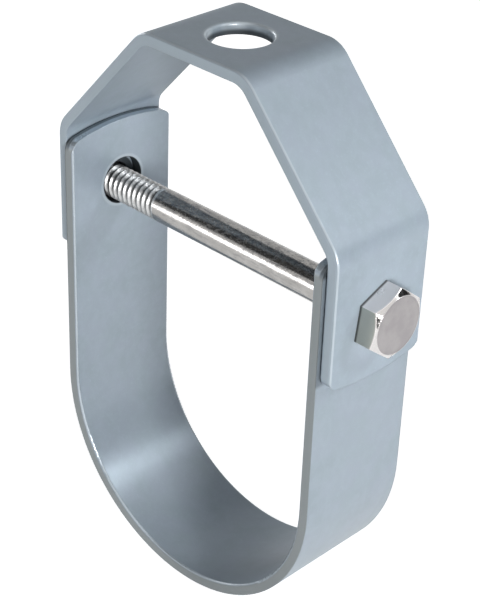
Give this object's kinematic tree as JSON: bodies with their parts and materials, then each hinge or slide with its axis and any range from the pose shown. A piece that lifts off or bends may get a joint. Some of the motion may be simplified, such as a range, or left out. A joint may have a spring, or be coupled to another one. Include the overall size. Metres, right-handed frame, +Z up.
{
  "type": "clevis pipe hanger",
  "caption": "Adjustable clevis hanger: a bent steel yoke for a threaded rod carries a U-shaped strap for a pipe on a long hex-head cross bolt with a nut.",
  "frame": {"origin": "centre of the rod hole on the underside of the yoke's flat top, where the hanger rod's nut bears", "axes": "+Z up along the rod, +X along the cross bolt towards its head, +Y along the pipe"},
  "size_m": [0.0802, 0.0234, 0.1052],
  "materials": {
    "yoke_steel": "satin",
    "strap_steel": "satin",
    "bolt_zinc": "bright",
    "nut_zinc": "bright"
  },
  "bodies": {
    "yoke": {"yoke": "yoke_steel"},
    "strap": {"strap": "strap_steel"},
    "cross_bolt": {"cross_bolt": "bolt_zinc"},
    "hex_nut": {"hex_nut": "nut_zinc"}
  },
  "joints": [
    {"name": "strap_swing", "type": "hinge", "parent": "yoke", "child": "strap", "pos_m": [0, 0, -0.0358], "axis": [1, 0, 0], "range_deg": [-8, 8]},
    {"name": "bolt_turn", "type": "hinge", "parent": "yoke", "child": "cross_bolt", "pos_m": [0, 0, -0.0358], "axis": [1, 0, 0], "range_deg": [0, 720]},
    {"name": "nut_travel", "type": "slide", "parent": "yoke", "child": "hex_nut", "axis": [1, 0, 0], "range_m": [-0.00255, 0]}
  ],
  "couplings": [
    {"joint": "nut_travel", "follows": "bolt_turn", "m_per_rad": -0.00020213}
  ]
}
